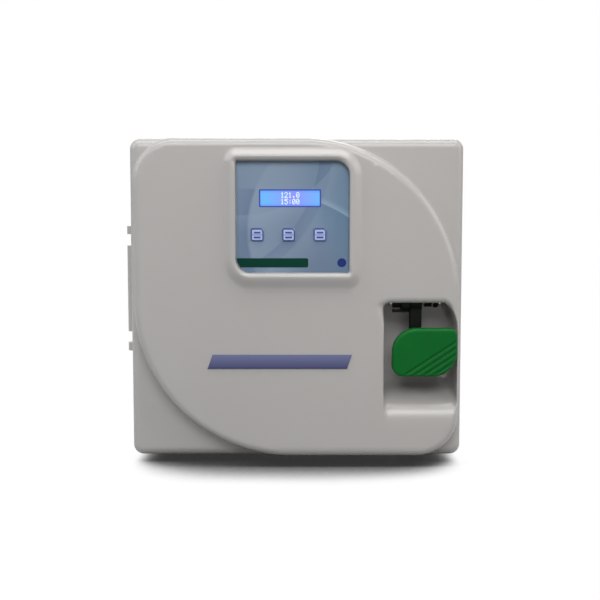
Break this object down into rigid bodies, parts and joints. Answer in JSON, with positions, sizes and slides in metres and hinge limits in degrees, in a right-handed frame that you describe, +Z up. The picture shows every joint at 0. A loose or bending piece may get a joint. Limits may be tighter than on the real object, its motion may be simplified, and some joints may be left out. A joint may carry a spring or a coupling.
{
  "type": "benchtop autoclave",
  "caption": "Benchtop steam autoclave: box cabinet, side-hinged moulded door with control panel and lever handle, latch hook and keeper, round pressure chamber with rack and trays.",
  "frame": {"origin": "on the table, under the middle of the part's box", "axes": "+Z up, the door faces -Y, +X to the right as seen from the front"},
  "size_m": [0.3918, 0.5895, 0.372],
  "materials": {
    "cover_plastic": "satin moulded light grey",
    "case_paint": "fine texture powder coat",
    "liner_paint": "smooth powder coat",
    "stainless": "brushed stainless steel",
    "zinc_steel": "bright zinc plate",
    "grey_steel": "dark grey coat",
    "black_steel": "satin black coat",
    "black_plastic": "fine matt",
    "foot_rubber": "matt",
    "silicone": "smooth translucent silicone",
    "brass": "turned",
    "panel_film": "fine matt film",
    "display": "lit display",
    "key_plastic": "satin",
    "grip_plastic": "satin green",
    "badge_film": "gloss",
    "circuit_board": "lacquered",
    "heater_mica": "mica band in sheet",
    "insulation": "mineral fibre blanket",
    "rocker_red": "gloss"
  },
  "bodies": {
    "case": {"base_pan": "case_paint", "cabinet_shell": "case_paint", "front_frame": "case_paint", "rear_panel": "case_paint", "rubber_feet": "foot_rubber", "case_screws": "zinc_steel", "chamber": "stainless", "chamber_flange": "stainless", "chamber_saddles": "grey_steel", "heater_bands": "heater_mica", "insulation_jacket": "insulation", "temperature_probe": "stainless", "safety_thermostat": "black_plastic", "tray_rack": "stainless", "lower_tray": "stainless", "middle_tray": "stainless", "upper_tray": "stainless", "hinge_bracket": "liner_paint", "hinge_pin": "zinc_steel", "hinge_bushes": "brass", "keeper_bracket": "grey_steel", "keeper_pin": "zinc_steel", "exhaust_valve": "brass", "valve_coil": "black_plastic", "drain_spigot": "brass", "safety_valve": "brass", "pressure_sensor": "stainless", "control_board": "circuit_board", "board_standoffs": "brass", "transformer": "grey_steel", "power_inlet": "black_plastic", "fuse_holders": "black_plastic", "switch_housing": "black_plastic", "earth_stud": "brass"},
    "door": {"door_cover": "cover_plastic", "door_liner": "liner_paint", "door_screws": "zinc_steel", "door_arm": "grey_steel", "door_hinge_leaf": "liner_paint", "pressure_lid": "stainless", "lid_stud": "zinc_steel", "lid_nut": "zinc_steel", "door_gasket": "silicone", "latch_bracket": "black_steel", "panel_overlay": "panel_film", "lcd_module": "display", "panel_board": "circuit_board", "board_posts": "brass", "badge_strip": "badge_film"},
    "handle": {"latch_shaft": "zinc_steel", "lever_arm": "black_steel", "handle_grip": "grip_plastic", "latch_hook": "black_steel"},
    "left_key": {"key_left": "key_plastic"},
    "middle_key": {"key_middle": "key_plastic"},
    "right_key": {"key_right": "key_plastic"},
    "power_rocker": {"switch_rocker": "rocker_red"},
    "relief_stem": {"valve_stem": "zinc_steel"}
  },
  "joints": [
    {"name": "door_swing", "type": "hinge", "parent": "case", "child": "door", "pos_m": [-0.1874, -0.21675, 0.1992], "axis": [0, 0, -1], "range_deg": [0, 115]},
    {"name": "handle_lift", "type": "hinge", "parent": "door", "child": "handle", "pos_m": [0.1389, -0.27075, 0.189], "axis": [-1, 0, 0], "range_deg": [-14, 30]},
    {"name": "left_key_press", "type": "slide", "parent": "door", "child": "left_key", "axis": [0, 1, 0], "range_m": [0, 0.0005], "stiffness_N_per_m": 1200, "springref_m": -0.0005},
    {"name": "middle_key_press", "type": "slide", "parent": "door", "child": "middle_key", "axis": [0, 1, 0], "range_m": [0, 0.0005], "stiffness_N_per_m": 1200, "springref_m": -0.0005},
    {"name": "right_key_press", "type": "slide", "parent": "door", "child": "right_key", "axis": [0, 1, 0], "range_m": [0, 0.0005], "stiffness_N_per_m": 1200, "springref_m": -0.0005},
    {"name": "power_rock", "type": "hinge", "parent": "case", "child": "power_rocker", "pos_m": [0.1639, 0.26375, 0.061], "axis": [-1, 0, 0], "range_deg": [0, 20]},
    {"name": "relief_pull", "type": "slide", "parent": "case", "child": "relief_stem", "axis": [0, 1, 0], "range_m": [0, 0.003], "stiffness_N_per_m": 2000, "springref_m": -0.001}
  ]
}
